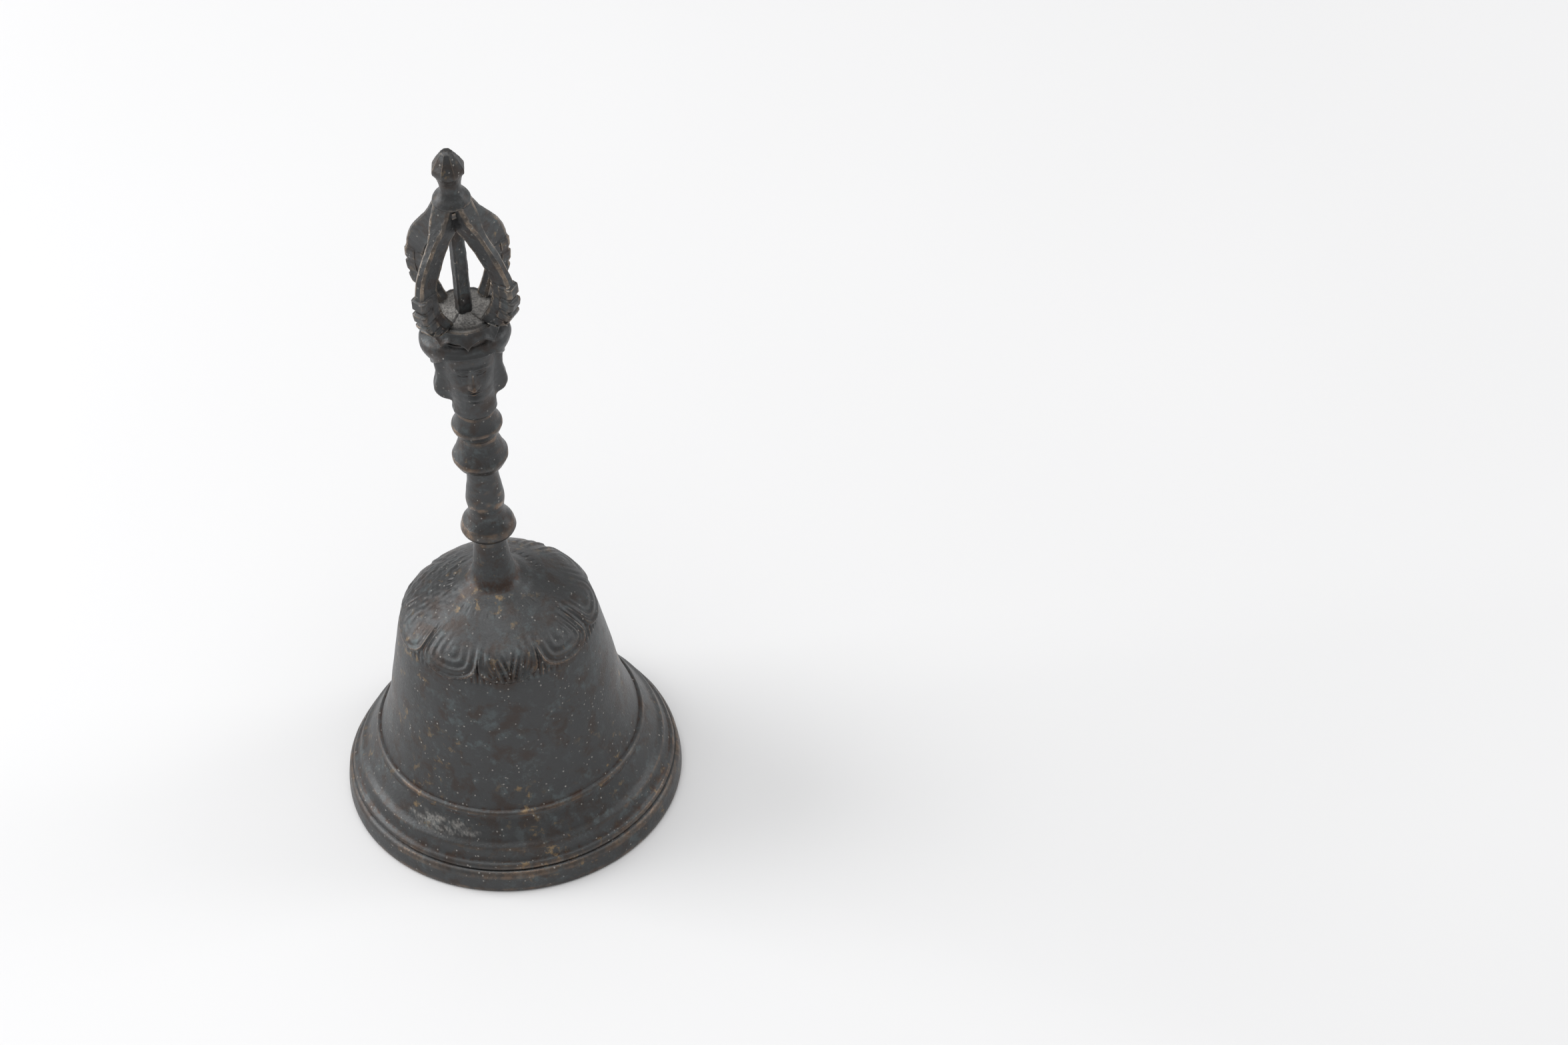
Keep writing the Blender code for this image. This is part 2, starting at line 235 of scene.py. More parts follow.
def loft(name: str, lengthwise: int, around: int,
         place: Callable[[Array, Array], Array],
         cap_rings: int = 3) -> Piece:
    """Shape a turned blank into a lofted solid.

    The blank is a drum of radius 1 and height 1. Its wall point at angle u and height v goes to
    place(u, v), and its end discs close the loft.

    Args:
        name: The piece's name.
        lengthwise: Divisions from end to end.
        around: Divisions round the section.
        place: Gives millimetre points for arrays of u (radians) and v (0 to 1).
        cap_rings: Rings in each end disc.

    Returns:
        The lofted piece.
    """
    rings = [index / cap_rings for index in range(cap_rings)]
    wall = [index / lengthwise for index in range(lengthwise + 1)]
    outline = [(share, 0.0) for share in rings] + [(1.0, height) for height in wall]
    outline += [(share, 1.0) for share in reversed(rings)]
    piece = turn(name, outline, around, Turned.POLES)
    blank = points_of(piece)
    share = np.minimum(np.hypot(blank[:, 0], blank[:, 1]), 1.0)
    angle = np.where(share > 1.0e-4, np.arctan2(blank[:, 1], blank[:, 0]), 0.0)
    height = np.clip(blank[:, 2], 0.0, 1.0)
    walls = place(angle, height)
    sweep = np.linspace(-math.pi, math.pi, around, endpoint=False)
    for end in (0.0, 1.0):
        middle = place(sweep, np.full(around, end)).mean(axis=0)
        cap = (share < 0.999) & (np.abs(height - end) < 1.0e-3)
        walls[cap] = middle + share[cap, None] * (walls[cap] - middle)
    move_points(piece, walls)
    close_up()
    return piece


def profile(table: Sequence[Point], at: Array) -> Array:
    """Read a smooth curve through (position, value) pairs.

    Args:
        table: Pairs in rising order of position.
        at: Positions to read.

    Returns:
        The values there, held constant past the ends.
    """
    xs, ys = np.array(table, float).T
    slopes = np.gradient(ys, xs)
    at = np.clip(at, xs[0], xs[-1])
    cell = np.clip(np.searchsorted(xs, at) - 1, 0, len(xs) - 2)
    width = xs[cell + 1] - xs[cell]
    t = (at - xs[cell]) / width
    return blend(t, width, ys[cell], ys[cell + 1], slopes[cell], slopes[cell + 1])


def ease(value: Array, low: float, high: float) -> Array:
    """Rise smoothly from 0 at low to 1 at high."""
    t = np.clip((value - low) / (high - low), 0.0, 1.0)
    return t * t * (3.0 - 2.0 * t)


def bump(value: Array, centre: float, width: float) -> Array:
    """A bell curve of height 1 round a centre."""
    return np.exp(-((value - centre) / width) ** 2)


def waves(points: Array, length: float, seed: int, count: int = 14) -> Array:
    """Smooth unevenness such as a hand-finished casting has.

    Args:
        points: Places in millimetres.
        length: Typical distance between two humps.
        seed: Which pattern.
        count: Number of plane waves that are added up.

    Returns:
        Values mostly between -1 and 1.
    """
    dice = np.random.default_rng(seed)
    total = np.zeros(len(points))
    for _ in range(count):
        way = dice.normal(size=3)
        way /= np.linalg.norm(way)
        pitch = length * dice.uniform(0.7, 1.5)
        total += np.sin(points @ way * math.tau / pitch + dice.uniform(0.0, math.tau))
    return total / math.sqrt(count)


def roughen(piece: Piece, *layers: tuple[float, float, int],
            keep: Callable[[Array], Array] | None = None) -> None:
    """Push a piece's surface gently in and out.

    Args:
        piece: The shaped piece.
        layers: Height, length and seed of each layer of waves.
        keep: Gives the share of the waves that is kept at each point.
    """
    points = points_of(piece)
    lift = sum(height * waves(points, length, seed) for height, length, seed in layers)
    if keep:
        lift *= keep(points)
    move_points(piece, points + normals_of(piece) * lift[:, None])


def store(piece: Piece, name: str, values: Array) -> None:
    """Keep one number for each vertex under a name that the finish reads."""
    layer = piece.data.attributes.new(name, "FLOAT", "POINT")
    layer.data.foreach_set("value", values.astype(np.float32))


def mark_wear(piece: Piece, rounds: int, height: float) -> None:
    """Find the proud edges that handling polishes and the hollows that keep their dirt.

    Args:
        piece: The shaped piece.
        rounds: Smoothing rounds; more rounds find broader edges.
        height: How far proud of its surroundings, in millimetres, counts as fully worn.
    """
    points = points_of(piece)
    pairs = np.empty(len(piece.data.edges) * 2, dtype=np.int32)
    piece.data.edges.foreach_get("vertices", pairs)
    first, second = pairs.reshape(-1, 2).T
    ends, others = np.concatenate((first, second)), np.concatenate((second, first))
    count = np.maximum(np.bincount(ends, minlength=len(points)), 1)[:, None]
    flat = points.copy()
    for _ in range(rounds):
        near = np.stack([np.bincount(ends, weights=flat[others, axis], minlength=len(points))
                         for axis in range(3)], axis=1) / count
        flat = 0.35 * flat + 0.65 * near
    proud = np.einsum("ij,ij->i", points - flat, normals_of(piece)) / height
    store(piece, "wear", np.clip(proud, 0.0, 1.0))
    store(piece, "recess", np.clip(-proud, 0.0, 1.0))


# --- finishes


class Bench:
    """Lays out the nodes of one finish."""

    def __init__(self, name: str) -> None:
        """Start a finish with its shader and its place on the piece."""
        self.material = bpy.data.materials.new(name)
        self.material.use_nodes = True
        self.tree = self.material.node_tree
        self.shader = self.tree.nodes["Principled BSDF"]
        self.place = self.tree.nodes.new("ShaderNodeTexCoord").outputs["Object"]

    def feed(self, socket: Socket, value: object) -> None:
        """Link a socket to another one, or give it a number or a colour."""
        if isinstance(value, Socket):
            self.tree.links.new(value, socket)
        elif isinstance(value, tuple):
            socket.default_value = (*value, 1.0)
        else:
            socket.default_value = value

    def node(self, kind: str, **values: object) -> bpy.types.Node:
        """Add a node and feed its inputs.

        Args:
            kind: The node's kind, without its prefix.
            values: What goes into each input.

        Returns:
            The node.
        """
        node = self.tree.nodes.new("ShaderNode" + kind)
        for label, value in values.items():
            self.feed(node.inputs[label], value)
        return node

    def grain(self, scale: float, detail: float = 4.0, rough: float = 0.6,
              warp: float = 0.0) -> Socket:
        """Cloudy noise on the piece.

        Args:
            scale: Features per metre.
            detail: Octaves.
            rough: Strength of the finer octaves.
            warp: Distortion.

        Returns:
            The noise value.
        """
        return self.node("TexNoise", Vector=self.place, Scale=scale, Detail=detail,
                         Roughness=rough, Distortion=warp).outputs["Fac"]

    def specks(self, scale: float, size: float) -> Socket:
        """Round specks, one in each cell.

        Args:
            scale: Cells per metre.
            size: Radius of a speck as a share of its cell.

        Returns:
            1 in a speck and 0 outside.
        """
        node = self.node("TexVoronoi", Vector=self.place, Scale=scale)
        return self.fade(node.outputs["Distance"], size, size * 0.55)

    def fade(self, value: Socket, low: float, high: float,
             bottom: float = 0.0, top: float = 1.0) -> Socket:
        """Map low..high to bottom..top, smoothly and clamped.

        Args:
            value: The value to map.
            low: Value that gives bottom.
            high: Value that gives top.
            bottom: Result at low.
            top: Result at high.

        Returns:
            The mapped value.
        """
        node = self.node("MapRange", **{"Value": value, "From Min": low, "From Max": high,
                                        "To Min": bottom, "To Max": top})
        node.interpolation_type = "SMOOTHSTEP"
        return node.outputs["Result"]

    def sums(self, operation: str, first: object, second: object) -> Socket:
        """Combine two values with one arithmetic operation, clamped to 0..1."""
        node = self.node("Math")
        node.operation = operation
        node.use_clamp = True
        self.feed(node.inputs[0], first)
        self.feed(node.inputs[1], second)
        return node.outputs["Value"]

    def times(self, first: object, second: object) -> Socket:
        """Multiply two values."""
        return self.sums("MULTIPLY", first, second)

    def lay(self, share: Socket, under: object, over: object) -> Socket:
        """Lay one colour over another where share is 1."""
        node = self.node("Mix")
        node.data_type = "RGBA"
        self.tree.links.new(share, node.inputs["Factor"])
        for socket, value in ((6, under), (7, over)):
            self.feed(node.inputs[socket], value)
        return node.outputs[2]

    def mark(self, name: str) -> Socket:
        """Read one of the piece's own per-vertex numbers."""
        node = self.node("Attribute")
        node.attribute_name = name
        return node.outputs["Fac"]

    def relief(self, height: Socket, depth: float, strength: float) -> None:
        """Roughen the surface finely.

        Args:
            height: Where the surface is high.
            depth: Height of the relief in metres.
            strength: How strongly it shows.
        """
        node = self.node("Bump", Strength=strength, Distance=depth, Height=height)
        self.feed(self.shader.inputs["Normal"], node.outputs["Normal"])


@dataclass(frozen=True)
class Patina:
    """Old dark bronze: clouded skin, brown hollows, coppery worn edges (lightened into painted
    highlights on the cage) and pale dust.
    """

    name: str
    skin: Colour = (0.072, 0.073, 0.074)
    cloud: Colour = (0.122, 0.142, 0.146)
    brown: Colour = (0.064, 0.051, 0.045)
    gold: Colour = (0.21, 0.155, 0.095)
    edge_copper_and_highlight: Colour = (0.25, 0.17, 0.115)
    cuprite: Colour = (0.060, 0.038, 0.029)
    dust: Colour = (0.36, 0.345, 0.32)
    cloud_scale: float = 340.0
    cloud_span: Point = (0.50, 0.72)
    brown_span: Point = (0.48, 0.66)
    fleck_span: Point = (0.56, 0.68)
    wear_low: float = 0.55
    wear_high: float = 1.0
    shine: float = 0.58
    metallic: float = 0.92
    smooth: float = 0.36
    matt: float = 0.54

    def make(self) -> bpy.types.Material:
        """Build the finish.

        Returns:
            The material.
        """
        bench = Bench(self.name)
        broad = bench.grain(52.0, 3.0, 0.5)
        cloud = bench.fade(bench.grain(self.cloud_scale, 8.0, 0.68, 0.2),
                           *self.cloud_span)
        cloud = bench.times(cloud, bench.fade(broad, 0.38, 0.62, 0.25, 1.0))
        stain = bench.fade(bench.grain(self.cloud_scale * 0.6, 6.0, 0.62, 0.3),
                           *self.brown_span)
        fine = bench.grain(1900.0, 5.0, 0.7)
        patchy = bench.grain(420.0, 5.0, 0.65)
        colour = bench.lay(cloud, self.skin, self.cloud)
        colour = bench.lay(bench.times(stain, 0.75), colour, self.brown)
        recess = bench.fade(bench.mark("recess"), 0.25, 0.95)
        recess = bench.times(recess, bench.fade(patchy, 0.40, 0.62, 0.0, 0.75))
        colour = bench.lay(recess, colour, self.cuprite)
        fleck = bench.fade(bench.grain(430.0, 6.0, 0.6), *self.fleck_span)
        fleck = bench.times(fleck, bench.fade(bench.grain(75.0, 3.0, 0.5), 0.50, 0.66))
        colour = bench.lay(fleck, colour, self.gold)
        wear = bench.fade(bench.mark("wear"), self.wear_low, self.wear_high)
        rubbed = bench.fade(bench.grain(90.0, 5.0, 0.6), 0.40, 0.60, 0.10, 1.0)
        wear = bench.times(wear, bench.times(rubbed, bench.fade(patchy, 0.40, 0.60, 0.25, 1.0)))
        # Worn proud edges take the coppery edge colour. This is real wear, and where the colour
        # is lightened it is a painted highlight as well.
        bare_and_highlight = bench.times(wear, self.shine)
        colour = bench.lay(bare_and_highlight, colour, self.edge_copper_and_highlight)
        sand = bench.mark("sand")
        grit = bench.fade(fine, 0.35, 0.68)
        sandy = bench.times(sand, bench.fade(fine, 0.30, 0.55, 0.72, 1.0))
        speck = bench.times(bench.specks(700.0, 0.20), 0.85)
        speck = bench.times(speck, bench.fade(patchy, 0.47, 0.54))
        pale = bench.sums("MAXIMUM", sandy, speck)
        colour = bench.lay(pale, colour, bench.lay(grit, (0.15, 0.145, 0.138), self.dust))
        bench.feed(bench.shader.inputs["Base Color"], colour)
        metal = bench.fade(pale, 0.0, 1.0, self.metallic, 0.12)
        bench.feed(bench.shader.inputs["Metallic"], metal)
        rough = bench.fade(cloud, 0.0, 1.0, self.smooth, self.matt)
        rough = bench.sums("ADD", rough, bench.fade(fine, 0.3, 0.7, 0.0, 0.10))
        rough = bench.sums("SUBTRACT", rough, bench.times(bare_and_highlight, 0.24))
        rough = bench.sums("ADD", rough, bench.times(pale, 0.35))
        bench.feed(bench.shader.inputs["Roughness"], rough)
        pits = bench.sums("ADD", bench.times(bench.grain(900.0, 6.0, 0.7), 0.7),
                          bench.times(fine, 0.3))
        bench.relief(pits, 0.00018, 0.70)
        return bench.material


@dataclass(frozen=True)
class ForgedIron:
    """Brown-black iron with rust in patches."""

    name: str
    scale_skin: Colour = (0.050, 0.046, 0.043)
    rust: Colour = (0.115, 0.060, 0.036)
    bright: Colour = (0.24, 0.21, 0.19)

    def make(self) -> bpy.types.Material:
        """Build the finish.

        Returns:
            The material.
        """
        bench = Bench(self.name)
        patch = bench.fade(bench.grain(260.0, 8.0, 0.7, 0.5), 0.46, 0.64)
        fine = bench.grain(1500.0, 5.0, 0.7)
        colour = bench.lay(patch, self.scale_skin, self.rust)
        wear = bench.fade(bench.mark("wear"), 0.25, 0.85)
        colour = bench.lay(bench.times(wear, 0.7), colour, self.bright)
        bench.feed(bench.shader.inputs["Base Color"], colour)
        bench.feed(bench.shader.inputs["Metallic"], bench.fade(patch, 0.0, 1.0, 0.9, 0.45))
        rough = bench.sums("ADD", bench.fade(patch, 0.0, 1.0, 0.42, 0.72),
                           bench.fade(fine, 0.3, 0.7, 0.0, 0.1))
        bench.feed(bench.shader.inputs["Roughness"], rough)
        bench.relief(bench.sums("ADD", bench.times(patch, 0.5), fine), 0.0002, 0.5)
        return bench.material


# --- one piece's last steps


def dress(piece: Piece, material: bpy.types.Material, body: Body, slot: Slot,
          *nodes: str, rounds: int = 24, proud: float = 0.12,
          sharp: float = 38.0) -> Piece:
    """Mark a piece's wear, smooth it, give it its finish, hang it on its body and hide the CAD
    nodes that it stands for.

    Args:
        piece: The shaped piece.
        material: Its finish.
        body: The body that it rides on.
        slot: The metal that it is cast or forged from; not used.
        nodes: The CAD nodes that it stands for.
        rounds: Smoothing rounds for the wear marks.
        proud: Millimetres proud that count as fully worn.
        sharp: Edges sharper than this many degrees stay sharp.

    Returns:
        The same piece.
    """
    mark_wear(piece, rounds, proud)
    if "sand" not in piece.data.attributes:
        store(piece, "sand", np.zeros(len(piece.data.vertices)))
    take(piece)
    bpy.ops.object.shade_smooth_by_angle(angle=math.radians(sharp))
    piece.data.materials.clear()
    piece.data.materials.append(material)
    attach(piece, body.value)
    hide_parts(*nodes)
    LOG.info("%s: %d vertices on %s", piece.name, len(piece.data.vertices), body.value)
    return piece


def join(parts: Sequence[Piece]) -> Piece:
    """Join pieces of one casting into the first of them."""
    take(*parts)
    bpy.ops.object.join()
    return parts[0]


def radius_of(points: Array) -> Array:
    """Distance of each point from the bell's axis."""
    return np.hypot(points[:, 0], points[:, 1])


def azimuth_of(points: Array) -> Array:
    """Angle round the axis from the front, positive towards +X, in radians."""
    return np.arctan2(points[:, 0], -points[:, 1])


def polar(azimuth: Array, radius: Array, height: Array) -> Array:
    """Points at an azimuth from the front, a radius and a height."""
    return np.stack([radius * np.sin(azimuth), -radius * np.cos(azimuth), height], axis=1)


# --- the cup


@dataclass
class BellCasting:
    """The cup with its moulded flange, plain waist, lotus crown and neck."""

    finish: Patina
    steps: int = 480
    rim: Sections = (
        ((36.8, 0.0), (39.6, 0.0)),
        ((39.6, 0.0), (40.0, 0.4), (40.1, 1.4), (39.9, 3.2), (39.4, 5.3), (39.0, 5.7)),
        ((39.0, 5.7), (38.4, 5.9)),
        ((38.4, 5.9), (38.65, 6.5), (38.3, 7.3), (37.5, 7.8)),
        ((37.5, 7.8), (37.0, 8.7), (36.75, 9.5), (36.6, 10.2), (36.25, 11.0), (35.6, 11.55),
         (34.95, 12.15), (34.2, 13.4), (33.0, 15.7), (32.1, 17.3)),
        ((32.1, 17.3), (32.05, 18.0), (31.6, 18.6), (30.95, 18.8)))
    waist: Table = (
        (30.95, 18.8), (30.2, 20.9), (29.2, 23.8), (28.4, 26.8), (27.5, 30.4), (26.7, 35.5),
        (25.7, 41.0), (24.7, 46.5), (23.9, 51.0), (23.4, 53.2))
    crown: Table = (
        (23.4, 53.2), (22.7, 55.1), (21.5, 56.7), (19.6, 58.5), (16.4, 60.9), (12.6, 63.2),
        (9.3, 65.0))
    collar: Table = ((9.3, 65.0), (7.9, 66.0), (6.4, 66.95))
    neck: Table = (
        (6.4, 66.95), (5.6, 67.9), (5.05, 69.3), (4.7, 71.0), (4.4, 73.0), (3.95, 77.0),
        (3.6, 81.2))
    inside: Sections = (
        ((3.6, 81.2), (1.8, 81.2)), ((1.8, 81.2), (1.8, 62.0)), ((1.8, 62.0), (8.0, 62.0)),
        ((8.0, 62.0), (12.6, 60.4), (17.4, 56.6), (20.2, 53.0), (21.4, 49.0), (23.0, 41.0),
         (24.3, 33.0), (26.2, 26.0), (28.6, 20.2), (31.6, 14.6), (34.4, 10.4), (36.2, 6.0),
         (36.8, 0.0)))
    petals: int = 9
    first_petal: float = math.radians(-33.5)
    petal_rise: float = 0.42
    groove_depth: float = 0.23
    groove_pitch: float = 1.9
    notches: int = 40

    def outline(self) -> list[Point]:
        """Trace the whole section of the cup, from the rim's inner edge and round to it."""
        line = flowing(self.rim, 0.62)[:-1]
        line += flowing((self.waist,), 1.05)[:-1]
        line += flowing((self.crown,), 0.29)[:-1]
        line += flowing((self.collar, self.neck), 0.9)[:-1]
        return line + flowing(self.inside, 6.6)[:-1]

    def lotus(self, points: Array) -> Array:
        """Height of the lotus carving over the plain crown.

        Args:
            points: Places on the crown.

        Returns:
            Millimetres along the surface normal.
        """
        radius = radius_of(points)
        azimuth = azimuth_of(points)
        curve = np.array(flowing((self.crown,), 0.3))
        along = np.concatenate(([0.0], np.cumsum(np.linalg.norm(np.diff(curve, axis=0), axis=1))))
        inward = np.interp(radius, curve[::-1, 0], along[::-1])
        turn_share = (azimuth - self.first_petal) / (math.tau / self.petals)
        side = 2.0 * (turn_share - np.round(turn_share))
        warp = 0.55 * waves(points, 15.0, 6)
        tip = 0.35 + 2.6 * np.abs(side) ** 2.3
        to_end = inward - tip + 0.3 * warp
        to_side = (0.95 - np.abs(side)) * radius * math.tan(math.pi / self.petals) + warp
        soft = 0.7
        depth = -soft * np.log(np.exp(-to_end / soft) + np.exp(-to_side / soft))
        fade = 1.0 - ease(inward + 1.6 * warp, 6.5, 13.0)
        kept = 0.62 + 0.38 * np.clip(1.3 * waves(points, 26.0, 7), -1.0, 1.0)
        rough = bump(np.degrees(azimuth), -105.0, 42.0)
        kept = np.maximum(kept, bump(np.degrees(azimuth), 5.0, 75.0))
        kept *= 1.0 - 0.75 * rough
        rise = self.petal_rise * ease(depth, -0.35, 0.45)
        groove = (self.groove_depth * np.cos(math.tau * (depth - 0.45) / self.groove_pitch)
                  * np.exp(-np.maximum(depth, 0.0) / 4.2) * ease(depth, -0.3, 0.4))
        rib = (0.20 * kept * np.cos(math.tau * azimuth * radius / 1.5)
               * (1.0 - ease(depth, -0.5, 0.35)) * ease(inward, 0.1, 0.8)
               * (1.0 - ease(inward, 2.8, 4.4)))
        local = (side * radius * math.pi / self.petals)
        fan = np.abs(local) * 0.95 - inward * 0.32
        middle = (bump(turn_share, 1.0, 0.42) ** 2 * ease(depth, -0.2, 0.6)
                  * (1.0 - ease(inward, 4.5, 8.0)))
        groove = groove * (1.0 - middle) + 0.24 * middle * np.cos(math.tau * fan / 1.45)
        shown = np.clip(0.35 + 0.9 * waves(points, 11.0, 5), 0.0, 1.0)
        notch = (-0.24 * np.clip(np.cos(azimuth * self.notches), 0.0, 1.0) ** 1.5
                 * bump(radius, 10.6, 0.8) * shown)
        pitted = 0.07 * rough * waves(points, 1.9, 9)
        return (rise * (0.5 + 0.5 * kept) + groove * kept * 1.25) * fade + rib + notch + pitted

    def build(self) -> Piece:
        """Turn the cup, carve its crown and dress it."""
        piece = turn("bell_cup", self.outline(), self.steps)
        points = points_of(piece)
        normals = normals_of(piece)
        radius = radius_of(points)
        outward = (normals[:, 0] * points[:, 0] + normals[:, 1] * points[:, 1]) / radius
        outer = (outward > 0.02) | ((normals[:, 2] > 0.1) & (points[:, 2] > 40.0))
        crown = outer & (points[:, 2] > 53.1) & (radius > 9.0)
        lift = np.zeros(len(points))
        lift[crown] = self.lotus(points[crown])
        body = outer & (points[:, 2] > 0.5) & (points[:, 2] < 80.0)
        uneven = 0.07 * waves(points, 24.0, 3) + 0.025 * waves(points, 6.0, 4)
        lift[body] += uneven[body] * ease(points[body, 2], 0.5, 4.0)
        move_points(piece, points + normals * lift[:, None])
        azimuth = np.degrees(azimuth_of(points))
        near = bump(azimuth, -30.0, 18.0) * bump(points[:, 2], 13.9, 2.3)
        patch = near * (1.0 + 0.45 * waves(points, 2.2, 8) + 0.40 * waves(points, 0.8, 10))
        store(piece, "sand", 0.6 * ease(patch, 0.40, 1.15) * outer)
        return dress(piece, self.finish.make(), Body.BELL, Slot.BELL, "bell_body",
                     rounds=9, proud=0.135)


# --- the handle


@dataclass
class HandleTurnings:
    """The baluster shaft and the two beads above it, threaded on the iron tie rod."""

    finish: Patina
    steps: int = 128
    bore: float = 1.8
    step: float = 0.35
    shaft: Sections = (
        ((4.6, 81.5), (5.4, 81.9), (6.25, 82.8), (6.45, 83.6)),
        ((6.45, 83.6), (6.1, 84.9), (5.3, 86.2), (4.5, 87.6), (4.2, 89.2), (4.45, 92.3),
         (4.1, 96.5), (3.65, 100.4), (3.7, 103.4)))
    lower_bead: Sections = (
        ((4.6, 103.6), (5.1, 103.9), (5.9, 105.0), (6.55, 106.4)),
        ((6.55, 106.4), (6.5, 106.9), (6.1, 107.6), (5.3, 109.6), (4.6, 111.6), (4.2, 113.3)))
    upper_bead: Sections = (
        ((4.4, 113.5), (4.8, 113.9), (5.4, 115.1), (5.85, 116.2)),
        ((5.85, 116.2), (5.8, 116.7), (5.4, 117.4), (4.8, 119.0), (4.3, 121.3)))

    def turned(self, name: str, sections: Sections,
               node: str, seed: int) -> Piece:
        """Turn one bored piece and make it slightly uneven.

        Args:
            name: The piece's name.
            sections: Its outside, from the bottom up.
            node: The CAD node that it stands for.
            seed: Which unevenness.

        Returns:
            The dressed piece.
        """
        low, high = sections[0][0], sections[-1][-1]
        bore = flowing((((high[0], high[1]), (self.bore, high[1])),
                        ((self.bore, high[1]), (self.bore, low[1])),
                        ((self.bore, low[1]), (low[0], low[1]))), 1.2)
        piece = turn(name, flowing(sections, self.step) + bore[1:-1], self.steps)
        roughen(piece, (0.07, 9.0, seed), (0.03, 3.0, seed + 1),
                keep=lambda points: ease(radius_of(points), 2.5, 3.4))
        return dress(piece, self.finish.make(), Body.BELL, Slot.HANDLE, node,
                     rounds=6, proud=0.030, sharp=50.0)

    def build(self) -> list[Piece]:
        """Make the shaft and both beads."""
        return [self.turned("baluster_shaft", self.shaft, "handle_shaft", 21),
                self.turned("lower_ring_bead", self.lower_bead, "lower_bead", 31),
                self.turned("upper_ring_bead", self.upper_bead, "upper_bead", 41)]


@dataclass
class MaskHead:
    """The mask head with long ear lobes, and the plain cap over it.

    The face is a calm general one: its hairline, brow, nose base and chin are equally spaced.
    """

    finish: Patina
    turn: float = math.radians(8.0)
    foot: float = 121.6
    hairline: float = 143.5
    third: float = 5.3
    depths: Table = (
        (121.6, 4.8), (122.2, 5.3), (124.0, 5.45), (126.0, 5.4), (127.6, 5.5), (129.4, 5.75),
        (132.4, 6.0), (135.6, 6.15), (139.0, 6.15), (141.6, 6.0), (143.5, 5.8), (144.2, 5.6))
    ears: Table = (
        (121.6, 0.0), (125.5, 0.0), (126.0, 0.9), (126.6, 1.9), (127.6, 2.6), (129.8, 2.75),
        (131.9, 2.35), (133.8, 1.9), (135.6, 1.75), (137.5, 1.8), (139.0, 1.8), (144.2, 1.7))
    cap_sides: Table = (
        (136.4, 7.6), (138.0, 8.0), (139.7, 8.6), (141.4, 9.6), (143.0, 10.3), (144.6, 10.45),
        (145.9, 9.7), (146.9, 7.8))
    cap_front: float = 0.785
    cap_back: float = 0.87
    cap_top: float = 146.9
    cap_lean: float = 0.4

    def face(self, side: Array, height: Array) -> Array:
        """Relief of the face.

        Args:
            side: Distance from the face's middle line, in millimetres.
            height: Height of each place.

        Returns:
            Millimetres outwards.
        """
        brow = self.hairline - self.third
        nose = brow - self.third
        chin = nose - self.third
        eye = brow - 0.26 * self.third
        mouth = nose - self.third / 3.0
        away = np.abs(side)
        mounds = {
            "socket": (-0.60, 2.1, 1.35, eye + 0.05, 0.95),
            "eyelid": (0.62, 2.1, 1.0, eye - 0.05, 0.62),
            "nose tip": (0.55, 0.0, 0.62, nose + 0.62, 0.62),
            "nostril": (0.62, 0.98, 0.46, nose + 0.42, 0.46),
            "philtrum": (-0.12, 0.0, 0.35, nose - 0.75, 0.5),
            "lower lip": (0.54, 0.0, 1.15, mouth - 0.46, 0.42),
            "under the lip": (-0.26, 0.0, 1.3, mouth - 1.25, 0.45),
            "chin": (0.62, 0.0, 1.7, chin + 1.05, 0.95),
            "cheek": (0.30, 3.1, 1.4, nose + 0.9, 1.8)}
        out = np.zeros(len(height))
        for lift, aside, breadth, level, tall in mounds.values():
            out += lift * bump(away, aside, breadth) * bump(height, level, tall)
        out += 0.34 * bump(height, brow + 0.1 - 0.035 * side**2, 0.55) * ease(away, 0.2, 1.0) \
            * (1.0 - ease(away, 3.2, 4.6))
        lash = eye - 0.42 + 0.10 * ((away - 2.1) / 1.1) ** 2
        out -= 0.24 * bump(height, lash, 0.13) * (1.0 - ease(np.abs(away - 2.1), 0.9, 1.35))
        down = np.clip((brow + 0.6 - height) / (brow + 0.6 - nose), 0.0, 1.0)
        bridge = np.where(height > nose - 0.1, 0.35 + 1.35 * down**1.6, 0.0)
        under = ease(height, nose - 0.35, nose + 0.35)
        out += bridge * under * bump(side, 0.0, 0.52 + 0.38 * down) \
            * (1.0 - ease(height, brow + 0.2, brow + 1.4))
        out += 0.46 * bump(height, mouth + 0.36 - 0.05 * away, 0.36) * bump(side, 0.0, 1.45)
        out -= 0.36 * bump(height, mouth + 0.04 * side**2, 0.15) * bump(side, 0.0, 1.6)
        return out

    def place(self, angle: Array, share: Array) -> Array:
        """Place the head's skin.

        Args:
            angle: Blank angle.
            share: 0 at the foot and 1 under the cap.

        Returns:
            The points.
        """
        height = self.foot + share * (self.depths[-1][0] - self.foot)
        azimuth = angle
        base = profile(self.depths, height)
        side = base * np.sin(azimuth)
        front = ease(np.cos(azimuth), 0.0, 0.35)
        jaw = 1.0 - ease(height, 126.6, 129.4)
        narrow = 1.0 - 0.02 * jaw * np.sin(azimuth) ** 2
        ear_angle = np.abs(np.abs(azimuth) - math.radians(92.0))
        ear = np.exp(-(ear_angle / math.radians(19.0)) ** 4)
        hollow = (bump(ear_angle, 0.0, math.radians(9.0)) * bump(height, 132.8, 2.6)
                  + 0.8 * bump(np.abs(azimuth), math.radians(76.0), math.radians(5.0))
                  * bump(height, 130.0, 4.0))
        radius = base * narrow + ear * profile(self.ears, height) - 0.55 * hollow
        radius += self.face(side, height) * front
        points = polar(azimuth + self.turn, radius, height)
        points[:, 0] -= 0.75 * self.cap_lean * ease(height, 124.0, 130.0)
        return points

    def hem(self, azimuth: Array) -> Array:
        """Height of the cap's lower edge: high over the brow, low at the sides and the back."""
        low = ease(np.abs(azimuth), math.radians(30.0), math.radians(88.0))
        return 143.3 - 5.9 * low - 0.25 * np.cos(azimuth * 2.0)

